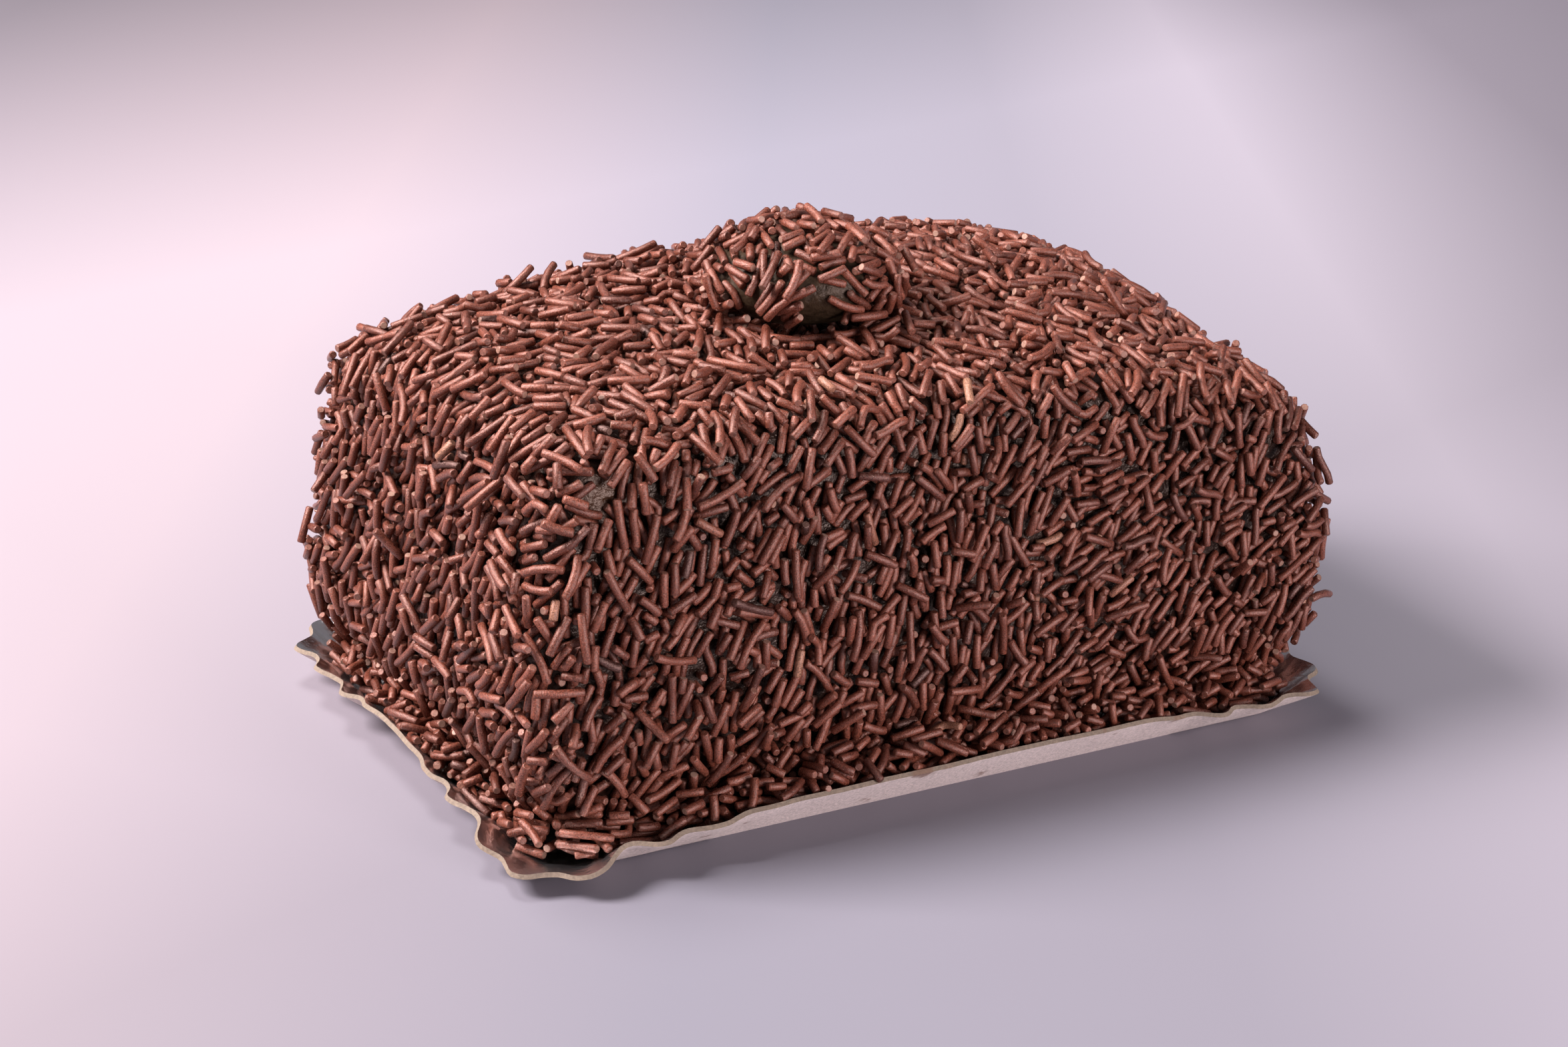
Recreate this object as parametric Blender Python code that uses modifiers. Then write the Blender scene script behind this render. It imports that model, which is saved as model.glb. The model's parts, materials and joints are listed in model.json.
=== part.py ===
"""A brigadeiro cake: a loaf of chocolate fudge under a coat of chocolate sprinkles, with one
sprinkled fudge ball on top, in the foil-lined card tray that it comes in.

Metres, +Z up. X runs along the long side and Y along the short side. The origin is the middle of
the tray's flat underside. The cake and the ball are solid out to the mean outer face of their coat.
"""

import math

import bmesh
import bpy
from mathutils import Matrix, Vector, noise

MM = 0.001
GAP = 0.3 * MM  # clearance between pieces that touch

# Tray: pressed card with a flat floor, walls that flare and crimped corners.
CARD = 0.7 * MM
TRAY_LENGTH = 128.0 * MM  # across the rim
TRAY_WIDTH = 80.5 * MM
TRAY_HEIGHT = 6.4 * MM
TRAY_FLARE = 6.6 * MM  # how far the rim stands out from the floor's edge
TRAY_CORNER = 11.0 * MM  # radius of the rim at a corner
CRIMP_DEPTH = 1.25 * MM
CRIMP_PITCH = 8.6 * MM
CRIMP_FULL = 18.0 * MM  # up to here from a corner's middle the crimps have their full depth
CRIMP_REACH = 36.0 * MM  # and here they end
CRIMP_DROOP = 1.5 * MM  # how far the rim hangs lower at a corner
CRIMP_DRIFT = 1.9  # how unevenly the crimps follow each other, in radians
CRIMP_DRIFT_SIZE = 17.0 * MM
CRIMP_LEAST = 0.35  # depth of the shallowest crimp, as a share of the full depth
CRIMP_CHANGE_SIZE = 9.0 * MM
CRIMP_DRIFT_SEED = 3.0
CRIMP_CHANGE_SEED = 6.0
RIM_STEP = 1.75 * MM
WALL_RINGS = 3

# Cake: sides that lean in, a crowned top and corners that have slumped. It lies with its long
# sides along X, and "left", "right", "front" and "back" are -X, +X, -Y and +Y.
CAKE_LENGTH = 125.0 * MM
CAKE_WIDTH = 72.5 * MM
CAKE_SHOULDER = 54.0 * MM  # height of the long top edges
CAKE_CROWN = 3.6 * MM  # how far the middle of the top stands above them
CAKE_RISE = 1.0 * MM  # how far the back edge stands above the middle, and the front below it
CAKE_ROUND = 5.5 * MM  # radius of the top edges
CAKE_UPRIGHT_ROUND = 3.4 * MM  # radius of the upright edges, which opens into the top edges' own
CAKE_ROUND_OPENS = 34.0 * MM
CAKE_FOOT_ROUND = 2.0 * MM
CAKE_FOOT_HEIGHT = 10.0 * MM  # below this the sides draw in to fit between the tray's walls
CAKE_MIDDLE = Vector((1.3 * MM, 1.0 * MM, 0.0))
FOOT_MARGIN = 1.5 * MM  # between the cake's foot and the tray's wall
FOOT_LENGTH = TRAY_LENGTH - 2.0 * (TRAY_FLARE + CARD + FOOT_MARGIN)
FOOT_WIDTH = TRAY_WIDTH - 2.0 * (TRAY_FLARE + CARD + FOOT_MARGIN)
LEAN_LEFT = 3.6 * MM
LEAN_RIGHT = 8.5 * MM
LEAN_FRONT = 2.5 * MM
LEAN_BACK = 1.0 * MM
END_SLUMP = 4.0 * MM  # how far the top falls at the right end
END_SLUMP_FROM = 0.55  # where that starts and would end, as shares of half the length
END_SLUMP_TO = 1.15
CORNER_REACH = 24.0 * MM
CORNER_SLUMPS = (  # which end, which side, and how far that corner of the top sinks
    (-1, 1, 7.0 * MM),
    (1, -1, 4.0 * MM),
    (-1, -1, 1.5 * MM),
)
HUMP = 1.6 * MM  # a swelling of the top towards the right and the back
HUMP_PLACE = (36.0 * MM, 18.0 * MM)
HUMP_REACH = 24.0 * MM
LEFT_SKEW = 0.4 * MM  # the left end stands this much further out at the back, and in at the front
SIDE_LEAN_CURVE = 2.0  # powers of the height: how late on the way up each change comes
END_LEAN_CURVE = 3.0
TOP_CURVE = 3.0
CROWN_CURVE = 3.0  # power of the place along the cake: how level the top stays before it falls
UNEVEN = 0.7 * MM
UNEVEN_SIZE = 22.0 * MM
UNEVEN_START = 12.0 * MM  # the foot stays even, so that it clears the tray
CAKE_SEED = 3.0
SEED_SPREAD = (1.0, 2.3, 5.1)  # keep the uneven offsets of the pieces and of the axes unlike
AXIS_SPREAD = 31.7

# Ball: a flattened sphere pressed a little into the top.
BALL_WIDTH = 27.6 * MM
BALL_DEPTH = 26.6 * MM
BALL_HEIGHT = 15.2 * MM
BALL_MIDDLE = Vector((-8.0 * MM, -4.6 * MM, 62.4 * MM))
BALL_SEGMENTS = 26
BALL_RINGS = 15
BALL_UNEVEN = 0.6 * MM
BALL_UNEVEN_SIZE = 14.0 * MM
BALL_SEED = 7.0

# Loose sprinkles that fill the gutter between the cake's foot and the tray's wall.
BED_STEP = 3.6 * MM
BED_FLOOR = 2.4 * MM  # below this the cake's foot fills the tray
BED_RIM_DROP = 0.6 * MM  # how far the heap stops below the rim
BED_CORNER_DROP = 1.4 * MM
BED_BANK = 4.0 * MM  # how much higher it stands against the cake than at the wall, at most
BED_BANK_LEAST = 0.55  # and at least, as a share of that
BED_MIDDLE = 0.6  # height of the slope's middle, as a share of the way from the wall's to the bank's
BED_REACH = TRAY_CORNER - 0.5 * MM  # how far in from the rim the uncut ring goes
BED_UNEVEN = 0.7 * MM
BED_UNEVEN_SIZE = 9.0 * MM
BED_CORNER_REACH = 9.0 * MM
BED_SLOPE = 3.0 * MM  # how far in from the wall the heap starts to bank up
WALL_CLEARANCE = 1.6 * CARD + GAP  # the card's thickness across a sloping wall, and the gap


def material(name, colour, roughness, metallic=0.0):
    made = bpy.data.materials.new(name)
    made.use_nodes = True
    shader = made.node_tree.nodes["Principled BSDF"]
    shader.inputs["Base Color"].default_value = (*colour, 1.0)
    shader.inputs["Roughness"].default_value = roughness
    shader.inputs["Metallic"].default_value = metallic
    return made


def add_object(name, mesh, collection, finish=None):
    made = bpy.data.objects.new(name, mesh)
    collection.objects.link(made)
    if finish:
        mesh.materials.append(finish)
    return made


def add_cutter(name, mesh, collection):
    made = add_object(name, mesh, collection)
    made.hide_render = True
    made.display_type = "WIRE"
    return made


def mesh_from(bm, name):
    bmesh.ops.recalc_face_normals(bm, faces=bm.faces)
    mesh = bpy.data.meshes.new(name)
    bm.to_mesh(mesh)
    bm.free()
    mesh.shade_smooth()
    return mesh


def subdivide(obj, levels=1):
    smooth = obj.modifiers.new("Smooth", "SUBSURF")
    smooth.levels = levels
    smooth.render_levels = levels
    return smooth


def grow(obj, distance):
    """Moves the surface out along its normals, for a cutter that leaves a gap."""
    grown = obj.modifiers.new("Clearance", "DISPLACE")
    grown.strength = distance
    grown.mid_level = 0.0
    return grown


def cut(obj, cutter):
    made = obj.modifiers.new("Cut by " + cutter.name, "BOOLEAN")
    made.operation = "DIFFERENCE"
    made.solver = "EXACT"
    made.object = cutter
    return made


def ramp(value, start, end):
    """0 before start, 1 after end, and a smooth rise between them."""
    t = min(max((value - start) / (end - start), 0.0), 1.0)
    return t * t * (3.0 - 2.0 * t)


# The cake.


def spaced(low, high, count):
    """This many places between low and high, evenly apart."""
    return [low + (high - low) * i / (count + 1) for i in range(1, count + 1)]


def cage_lines(half, round_low, round_high, between):
    """Places of the loop cuts along one axis: two in each rounded edge and those between them."""
    turn = math.tan(math.radians(22.5))
    low, high = -half + round_low, half - round_high
    return [low - turn * round_low, low, *between, high, high + turn * round_high]


def rounded(point, low, high, low_round, high_round):
    """Moves a point of a box's surface onto the box with elliptical edges of the given radii."""
    core = Vector(
        min(max(point[i], low[i] + low_round[i]), high[i] - high_round[i]) for i in range(3)
    )
    away = point - core
    reach = Vector(
        away[i] / (low_round[i] if away[i] < 0.0 else high_round[i]) for i in range(3)
    )
    if reach.length < 1e-9:
        return point
    return core + away / reach.length


def nearness(point, x, y, reach):
    """1 above the place x, y and 0 well beyond this reach of it."""
    return math.exp(-((point.x - x) ** 2 + (point.y - y) ** 2) / reach**2)


def slumped(point):
    """The cake's form: its sides lean in, its top is crowned and its corners sink."""
    half_length, half_width = CAKE_LENGTH / 2, CAKE_WIDTH / 2
    height = point.z / CAKE_SHOULDER
    along, across = point.x / half_length, point.y / half_width
    tuck = 1.0 - ramp(point.z, 0.0, CAKE_FOOT_HEIGHT)
    if along > 0.0:
        lean_x = LEAN_RIGHT * height**END_LEAN_CURVE
    else:
        lean_x = LEAN_LEFT * height**END_LEAN_CURVE - LEFT_SKEW * across
    lean_x += tuck * (half_length - FOOT_LENGTH / 2)
    lean_y = (LEAN_BACK if across > 0.0 else LEAN_FRONT) * height**SIDE_LEAN_CURVE
    lean_y += tuck * (half_width - FOOT_WIDTH / 2)
    crown = CAKE_CROWN * (1.0 - abs(along) ** CROWN_CURVE) * (1.0 - across * across)
    end = END_SLUMP * ramp(along, END_SLUMP_FROM, END_SLUMP_TO)
    corner = sum(
        depth * nearness(point, side_x * half_length, side_y * half_width, CORNER_REACH)
        for side_x, side_y, depth in CORNER_SLUMPS
    )
    hump = HUMP * nearness(point, *HUMP_PLACE, HUMP_REACH)
    moved = Vector((point.x - along * lean_x, point.y - across * lean_y, point.z))
    moved.z += (crown + CAKE_RISE * across + hump - end - corner) * height**TOP_CURVE
    return moved


def uneven(point, size, amount, seed):
    """A slow offset, a different one along each axis."""
    place = point / size + seed * Vector(SEED_SPREAD)
    looks = [place + Vector((0.0, 0.0, AXIS_SPREAD * axis)) for axis in range(3)]
    return amount * Vector([noise.noise(look) for look in looks])


def cake_cage():
    half = Vector((CAKE_LENGTH / 2, CAKE_WIDTH / 2, CAKE_SHOULDER / 2))
    inner = half - Vector((CAKE_ROUND, CAKE_ROUND, CAKE_ROUND))
    tuck_top = CAKE_FOOT_HEIGHT - half.z
    upright = [tuck_top, *spaced(tuck_top, inner.z, 2)]
    cuts = (
        cage_lines(half.x, CAKE_ROUND, CAKE_ROUND, spaced(-inner.x, inner.x, 5)),
        cage_lines(half.y, CAKE_ROUND, CAKE_ROUND, spaced(-inner.y, inner.y, 3)),
        cage_lines(half.z, CAKE_FOOT_ROUND, CAKE_ROUND, upright),
    )
    bm = bmesh.new()
    bmesh.ops.create_cube(bm, size=1.0, matrix=Matrix.Diagonal((*(2.0 * half), 1.0)))
    for axis in range(3):
        across = Vector((axis == 0, axis == 1, axis == 2))
        for place in cuts[axis]:
            everything = bm.verts[:] + bm.edges[:] + bm.faces[:]
            bmesh.ops.bisect_plane(bm, geom=everything, plane_co=across * place, plane_no=across)
    foot = Vector((0.0, 0.0, CARD + GAP))
    for vert in bm.verts:
        opened = ramp(vert.co.z + half.z, CAKE_ROUND_OPENS, CAKE_SHOULDER - CAKE_ROUND)
        side = CAKE_UPRIGHT_ROUND + (CAKE_ROUND - CAKE_UPRIGHT_ROUND) * opened
        low_round, high_round = (side, side, CAKE_FOOT_ROUND), (side, side, CAKE_ROUND)
        box_point = rounded(vert.co, -half, half, low_round, high_round)
        box_point.z += half.z
        place = slumped(box_point) + CAKE_MIDDLE + foot
        place += uneven(place, UNEVEN_SIZE, UNEVEN, CAKE_SEED) * ramp(box_point.z, 0.0, UNEVEN_START)
        vert.co = place
    return mesh_from(bm, "cake")


# The ball.


def ball_mesh():
    bm = bmesh.new()
    bmesh.ops.create_uvsphere(
        bm, u_segments=BALL_SEGMENTS, v_segments=BALL_RINGS, radius=0.5
    )
    size = Vector((BALL_WIDTH, BALL_DEPTH, BALL_HEIGHT))
    for vert in bm.verts:
        place = vert.co * size + BALL_MIDDLE
        place += uneven(place, BALL_UNEVEN_SIZE, BALL_UNEVEN, BALL_SEED)
        vert.co = place
    return mesh_from(bm, "brigadeiro_ball")


# The tray, and the heap that follows its outline.


def outline(half_length, half_width, corner, step):
    """Points round a rectangle with round corners. Each is a place, the way out, how far round
    it lies, and how near it is to the middle of a corner's arc, measured along the outline."""
    found = []
    straight_x, straight_y = half_length - corner, half_width - corner
    corners = ((1, 1, 0), (-1, 1, 90), (-1, -1, 180), (1, -1, 270))
    arc = math.pi / 2 * corner
    travelled = 0.0
    for index, (side_x, side_y, start) in enumerate(corners):
        centre = Vector((side_x * straight_x, side_y * straight_y, 0.0))
        turns = math.ceil(arc / step)
        for i in range(turns):
            angle = math.radians(start + 90.0 * i / turns)
            way = Vector((math.cos(angle), math.sin(angle), 0.0))
            along = arc * i / turns
            found.append((centre + corner * way, way, travelled + along, abs(along - arc / 2)))
        travelled += arc
        way = Vector((math.cos(math.radians(start + 90)), math.sin(math.radians(start + 90)), 0.0))
        side = 2.0 * (straight_x if index % 2 == 0 else straight_y)
        forward = Vector((-way.y, way.x, 0.0))
        steps = math.ceil(side / step)
        for i in range(steps):
            along = side * i / steps
            place = centre + corner * way + forward * along
            found.append((place, way, travelled + along, arc / 2 + min(along, side - along)))
        travelled += side
    return found


def crimp(travelled, from_corner):
    """How deeply the wall is crimped here, from 1 near a corner to 0 along a side, and the wave."""
    depth = 1.0 - ramp(from_corner, CRIMP_FULL, CRIMP_REACH)
    drift = CRIMP_DRIFT * noise.noise(Vector((travelled / CRIMP_DRIFT_SIZE, CRIMP_DRIFT_SEED, 0.0)))
    change = 0.5 + noise.noise(Vector((travelled / CRIMP_CHANGE_SIZE, 0.0, CRIMP_CHANGE_SEED)))
    strength = CRIMP_LEAST + (1.0 - CRIMP_LEAST) * min(max(change, 0.0), 1.0)
    wave = strength * math.cos(2.0 * math.pi * travelled / CRIMP_PITCH + drift)
    return depth, wave


def wall_point(place, way, travelled, from_corner, up):
    """A point of the wall's outer face, from 0 at the floor to 1 at the rim."""
    depth, wave = crimp(travelled, from_corner)
    out = TRAY_FLARE * (up - 1.0) + CRIMP_DEPTH * depth * wave * up
    height = (TRAY_HEIGHT - CRIMP_DROOP * depth) * up
    return place + way * out + Vector((0.0, 0.0, height))


def rim_outline(step):
    return outline(TRAY_LENGTH / 2, TRAY_WIDTH / 2, TRAY_CORNER, step)


def tray_mesh():
    """An open dish whose face is the outer side; Solidify gives the card its thickness inwards."""
    bm = bmesh.new()
    stations = rim_outline(RIM_STEP)
    rings = [
        [bm.verts.new(wall_point(*station, ring / WALL_RINGS)) for station in stations]
        for ring in range(WALL_RINGS + 1)
    ]
    count = len(stations)
    for low, high in zip(rings, rings[1:]):
        for i in range(count):
            after = (i + 1) % count
            bm.faces.new((low[i], low[after], high[after], high[i]))
    floor = bm.faces.new(list(reversed(rings[0])))
    bmesh.ops.poke(bm, faces=[floor])
    mesh = bpy.data.meshes.new("card_tray")
    bm.to_mesh(mesh)
    bm.free()
    mesh.shade_smooth()
    mesh.set_sharp_from_angle(angle=math.radians(35))
    return mesh


def bed_mesh():
    """A ring in the gutter, open to the cake's side, which a cutter then trims to the cake."""
    bm = bmesh.new()
    rings = []
    for place, way, travelled, from_corner in rim_outline(BED_STEP):
        depth, _wave = crimp(travelled, from_corner)
        near = 1.0 - ramp(from_corner, 0.0, BED_CORNER_REACH)
        lift = 0.5 + 0.5 * noise.noise(place / BED_UNEVEN_SIZE)
        top = TRAY_HEIGHT - CRIMP_DROOP * depth - BED_RIM_DROP - BED_CORNER_DROP * near
        top += BED_UNEVEN * (lift - 0.5)
        bank = top + BED_BANK * (BED_BANK_LEAST + (1.0 - BED_BANK_LEAST) * lift)
        clear = WALL_CLEARANCE + CRIMP_DEPTH * depth
        foot = place - way * (TRAY_FLARE * (1.0 - BED_FLOOR / TRAY_HEIGHT) + clear)
        shoulder = place - way * (TRAY_FLARE * (1.0 - top / TRAY_HEIGHT) + clear)
        middle = shoulder - way * BED_SLOPE
        inner = place - way * BED_REACH
        section = (
            inner + Vector((0.0, 0.0, BED_FLOOR)),
            foot + Vector((0.0, 0.0, BED_FLOOR)),
            shoulder + Vector((0.0, 0.0, top)),
            middle + Vector((0.0, 0.0, top + BED_MIDDLE * (bank - top))),
            inner + Vector((0.0, 0.0, bank)),
        )
        rings.append([bm.verts.new(point) for point in section])
    for i, ring in enumerate(rings):
        after = rings[(i + 1) % len(rings)]
        for k in range(len(ring)):
            step = (k + 1) % len(ring)
            bm.faces.new((ring[k], after[k], after[step], ring[step]))
    return mesh_from(bm, "sprinkle_bed")


def clear_scene():
    for obj in list(bpy.data.objects):
        bpy.data.objects.remove(obj, do_unlink=True)


def new_collection(name):
    made = bpy.data.collections.new(name)
    bpy.context.scene.collection.children.link(made)
    return made


def main():
    clear_scene()
    parts = new_collection("brigadeiro_cake")
    cutters = new_collection("cutters")
    sprinkled = material("Chocolate sprinkles", (0.105, 0.038, 0.027), 0.5)
    loose = material("Loose sprinkles", (0.085, 0.030, 0.022), 0.55)
    card = material("Foil-lined card", (0.50, 0.46, 0.43), 0.6)

    cake = add_object("cake", cake_cage(), parts, sprinkled)
    subdivide(cake)
    ball = add_object("brigadeiro_ball", ball_mesh(), parts, sprinkled)
    dish = add_cutter("ball_clearance", ball.data.copy(), cutters)
    grow(dish, GAP)
    cut(cake, dish)

    tray = add_object("card_tray", tray_mesh(), parts, card)
    wall = tray.modifiers.new("Card", "SOLIDIFY")
    wall.thickness = CARD
    wall.offset = -1.0
    wall.use_even_offset = True

    bed = add_object("sprinkle_bed", bed_mesh(), parts, loose)
    clearance = add_cutter("cake_clearance", cake.data.copy(), cutters)
    subdivide(clearance)
    grow(clearance, GAP)
    cut(bed, clearance)


main()
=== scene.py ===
# %% [markdown]
# # A brigadeiro cake under chocolate sprinkles
#
# The object is a small loaf of chocolate cake covered with fudge frosting, with one fudge ball on
# top, pressed all over with chocolate sprinkles and standing in a foil-lined card tray. Nearly all
# that the eye sees is sprinkles, so this lesson is mostly about them: how to model a few kinds of
# them, how to let thousands settle on a surface without passing through each other, and how to
# give each its own tint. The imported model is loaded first, because every place is taken from it.

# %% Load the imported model
import json
import math

import bmesh
import bpy
import numpy as np
from mathutils import Matrix, Vector, noise
from mathutils.bvhtree import BVHTree

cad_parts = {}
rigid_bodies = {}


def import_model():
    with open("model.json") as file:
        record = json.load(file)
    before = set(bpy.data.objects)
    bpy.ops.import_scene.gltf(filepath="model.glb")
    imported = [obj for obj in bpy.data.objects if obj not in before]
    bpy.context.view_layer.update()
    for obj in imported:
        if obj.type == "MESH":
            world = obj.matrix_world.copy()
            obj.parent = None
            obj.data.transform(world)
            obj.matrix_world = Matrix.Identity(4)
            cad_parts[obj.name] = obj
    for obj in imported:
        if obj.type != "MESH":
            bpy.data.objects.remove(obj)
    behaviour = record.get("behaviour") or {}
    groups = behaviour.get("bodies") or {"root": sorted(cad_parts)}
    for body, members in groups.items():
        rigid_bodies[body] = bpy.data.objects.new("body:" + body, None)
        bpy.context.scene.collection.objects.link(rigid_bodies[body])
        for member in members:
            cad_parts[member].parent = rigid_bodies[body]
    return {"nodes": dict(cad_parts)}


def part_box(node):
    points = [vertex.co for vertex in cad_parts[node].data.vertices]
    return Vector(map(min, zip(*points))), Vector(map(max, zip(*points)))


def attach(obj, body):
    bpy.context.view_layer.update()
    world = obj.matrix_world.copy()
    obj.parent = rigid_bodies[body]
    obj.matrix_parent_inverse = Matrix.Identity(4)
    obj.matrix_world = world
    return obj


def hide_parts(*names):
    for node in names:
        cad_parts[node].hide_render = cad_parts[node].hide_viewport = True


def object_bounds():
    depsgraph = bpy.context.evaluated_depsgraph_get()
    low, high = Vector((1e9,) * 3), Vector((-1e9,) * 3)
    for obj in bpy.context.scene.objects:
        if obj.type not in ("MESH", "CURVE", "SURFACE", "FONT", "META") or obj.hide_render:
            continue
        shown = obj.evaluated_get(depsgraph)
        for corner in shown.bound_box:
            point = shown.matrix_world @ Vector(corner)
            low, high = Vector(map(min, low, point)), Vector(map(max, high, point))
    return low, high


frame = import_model()
cad_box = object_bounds()
nodes = frame["nodes"]
print("nodes", sorted(nodes))

# %% [markdown]
# ## Camera, floor and light
#
# The cake stands on a pale floor and is seen over its near corner from about 20 degrees above. The
# camera is tilted a little, so the cake leans in the picture. Its place is worked out from the
# angles and the distance to a point inside the cake.

# %% Camera
MM = 0.001
SCENE = bpy.context.scene.collection

AIM = Vector((0.0, 0.0, 27.5 * MM))
AZIMUTH = math.radians(-31.9)  # 0 looks along +Y
ELEVATION = math.radians(20.5)
ROLL = math.radians(3.0)
DISTANCE = 368.4 * MM
SIDESTEP = (-5.3 * MM, -2.3 * MM)  # of the camera, to its right and up
LENS = 61.45  # millimetres, on a sensor 36 mm wide


def add_camera():
    level = Vector((math.sin(AZIMUTH), -math.cos(AZIMUTH), 0.0))
    back = math.cos(ELEVATION) * level + Vector((0.0, 0.0, math.sin(ELEVATION)))
    right = Vector((math.cos(AZIMUTH), math.sin(AZIMUTH), 0.0))
    up = back.cross(right)
    rolled_right = math.cos(ROLL) * right + math.sin(ROLL) * up
    rolled_up = math.cos(ROLL) * up - math.sin(ROLL) * right
    place = AIM + SIDESTEP[0] * rolled_right + SIDESTEP[1] * rolled_up + DISTANCE * back
    lens = bpy.data.cameras.new("camera")
    lens.lens = LENS
    lens.sensor_width = 36.0
    camera = bpy.data.objects.new("camera", lens)
    SCENE.objects.link(camera)
    turn = Matrix((rolled_right, rolled_up, back)).transposed()
    camera.matrix_world = Matrix.Translation(place) @ turn.to_4x4()
    bpy.context.scene.camera = camera
    return camera


camera = add_camera()
print("camera at", [round(v, 3) for v in camera.location])

# %% [markdown]
# The floor is matt paper whose colour carries painted light: two ramps make it rosy and brighter on
# the left, darker under the cake, brightest beside its right end, lilac on the right and much brighter
# far back, standing in for how the lamps fall on it. Three soft lights do the rest. The strongest
# stands close on the left and a little behind the cake, so that the left end and the top are bright
# and the long front side lies in shade. A low one in front lifts that side, and a weak one overhead
# fills the top.

# %% Floor and lights
FLOOR_SIZE = 8.0
TO_RIGHT = (1.7, -1.05, 0.0)  # across the floor, a unit for each half metre to the right
AWAY = (-0.7, 2.1, 0.0)  # into its depth, a unit for a little under half a metre
# Painted light and shade across the floor: brighter left of the cake, darker under it, brightest right of
# it.
FLOOR_PAINTED_LIGHT_ACROSS = (  # rosy on the left and lilac on the right; 0.5 is under the cake's middle
    (0.0, (0.115, 0.102, 0.115)),
    (0.29, (0.197, 0.166, 0.181)),
    (0.47, (0.165, 0.160, 0.190)),
    (0.6, (0.193, 0.184, 0.216)),
    (0.73, (0.290, 0.267, 0.304)),
    (0.92, (0.188, 0.170, 0.198)),
)
# Painted light: the floor grows up to twice as bright towards the back, standing in for how the lamps fall.
FLOOR_PAINTED_LIGHT_AWAY = ((0.25, 0.98), (0.5, 1.05), (1.0, 2.1))
BRIGHT_SIDE = (1.0, 0.92, 0.94)  # colours of the light: rosy from the left, lilac from the right
COOL_SIDE = (0.98, 0.89, 0.94)


def new_material(name, **settings):
    """A material whose shader has these values set on its own sockets, and its node tree."""
    made = bpy.data.materials.new(name)
    made.use_nodes = True
    shader = made.node_tree.nodes["Principled BSDF"]
    for socket, value in settings.items():
        socket = socket.replace("_", " ").title().replace("Ior", "IOR")
        shader.inputs[socket].default_value = (*value, 1.0) if isinstance(value, tuple) else value
    return made, shader, made.node_tree


def add_node(tree, kind, inputs=None, **settings):
    """A node with its settings and the values or links of its inputs."""
    made = tree.nodes.new(kind)
    for name, value in settings.items():
        setattr(made, name, value)
    for name, value in (inputs or {}).items():
        if isinstance(value, bpy.types.NodeSocket):
            tree.links.new(value, made.inputs[name])
        else:
            made.inputs[name].default_value = value
    return made


def ramp(tree, factor, stops):
    """The colour of a ramp with these stops, each a place and a colour or a grey."""
    made = add_node(tree, "ShaderNodeValToRGB", {"Fac": factor})
    elements = made.color_ramp.elements
    while len(elements) < len(stops):
        elements.new(0.5)
    for element, (place, colour) in zip(elements, stops):
        element.position = place
        element.color = (*colour, 1.0) if isinstance(colour, tuple) else (colour, colour, colour, 1.0)
    return made.outputs["Color"]


def add_floor():
    mesh = bpy.data.meshes.new("floor")
    half = FLOOR_SIZE / 2
    corners = [(-half, -half, 0.0), (half, -half, 0.0), (half, half, 0.0), (-half, half, 0.0)]
    mesh.from_pydata(corners, [], [(0, 1, 2, 3)])
    floor = bpy.data.objects.new("floor", mesh)
    SCENE.objects.link(floor)
    finish, shader, tree = new_material("Pale floor", roughness=0.55)
    spot = add_node(tree, "ShaderNodeTexCoord").outputs["Object"]
    tones = []
    for way, stops in ((TO_RIGHT, FLOOR_PAINTED_LIGHT_ACROSS), (AWAY, FLOOR_PAINTED_LIGHT_AWAY)):
        measured = add_node(tree, "ShaderNodeVectorMath", {0: spot, 1: way}, operation="DOT_PRODUCT")
        span = {"Value": measured.outputs["Value"], "From Min": -0.5, "From Max": 0.5}
        place = add_node(tree, "ShaderNodeMapRange", span)
        tones.append(ramp(tree, place.outputs["Result"], stops))
    # The floor's colour is the product of both ramps: painted light and shade, set by place on the floor.
    painted_light_floor = add_node(tree, "ShaderNodeVectorMath", {0: tones[0], 1: tones[1]}, operation="MULTIPLY")
    tree.links.new(painted_light_floor.outputs["Vector"], shader.inputs["Base Color"])
    mesh.materials.append(finish)
    return floor


def add_area(name, place, size, power, colour):
    """A square soft light at this place, in metres, that faces the cake."""
    light = bpy.data.lights.new(name, "AREA")
    light.size = size
    light.energy = power
    light.color = colour
    lamp = bpy.data.objects.new(name, light)
    lamp.location = place
    lamp.rotation_euler = (Vector(place) - AIM).to_track_quat("Z", "Y").to_euler()
    SCENE.objects.link(lamp)
    return lamp


add_floor()
add_area("overhead", (-0.12, 0.30, 1.0), 0.32, 7.0, (1.0, 0.97, 0.98))
add_area("left", (-0.48, 0.16, 0.48), 0.26, 13.8, BRIGHT_SIDE)
add_area("right", (0.35, -1.10, 0.24), 0.5, 17.0, COOL_SIDE)
world = bpy.data.worlds.new("studio")
world.use_nodes = True
world.node_tree.nodes["Background"].inputs["Color"].default_value = (0.80, 0.76, 0.84, 1.0)
world.node_tree.nodes["Background"].inputs["Strength"].default_value = 0.24
bpy.context.scene.world = world
bpy.context.scene.view_settings.view_transform = "Standard"

# %% [markdown]
# ## The frosting under the coat
#
# Under the sprinkles lies soft dark frosting, which shows in the gaps as a wet, nearly black skin.
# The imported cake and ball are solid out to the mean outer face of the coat, so their cores are the
# same shapes drawn in by the depth of the coat. A Displace modifier moves the faces in, a voxel
# Remesh gives even faces of about a millimetre, which serve later as places for the sprinkles, and
# a Smooth modifier takes the facets away.

# %% Cores
COAT = 1.5  # depth of the coat; lengths in this part are in millimetres
CORE_VOXEL = 1.1
HEAP_SINK = 0.6  # the heap's core ends this far up, and real sprinkles lie on it in layers


def apply_modifiers(obj):
    """Turns an object with modifiers into one with a plain mesh."""
    graph = bpy.context.evaluated_depsgraph_get()
    made = bpy.data.meshes.new_from_object(obj.evaluated_get(graph))
    obj.modifiers.clear()
    obj.data = made
    return obj


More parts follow.
